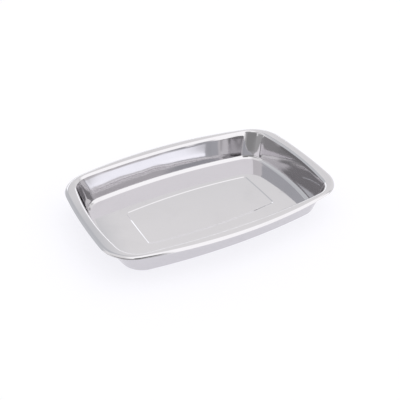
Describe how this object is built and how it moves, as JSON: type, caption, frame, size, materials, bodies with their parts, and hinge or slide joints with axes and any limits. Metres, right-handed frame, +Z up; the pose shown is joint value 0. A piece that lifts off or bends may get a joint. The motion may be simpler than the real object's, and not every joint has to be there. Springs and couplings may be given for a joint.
{
  "type": "instrument tray",
  "caption": "Shallow rectangular steel tray with bowed sides, rounded corners, sloping walls, a flat rim with a turned-down lip and a bordered floor.",
  "frame": {"origin": "middle of the base, on the plane that the tray stands on", "axes": "+X along the length, +Y along the width, +Z up out of the open mouth"},
  "size_m": [0.32, 0.22, 0.0385],
  "materials": {
    "polished_steel": "mirror-polished stainless steel sheet"
  },
  "bodies": {
    "root": {"tray": "polished_steel"}
  },
  "joints": []
}
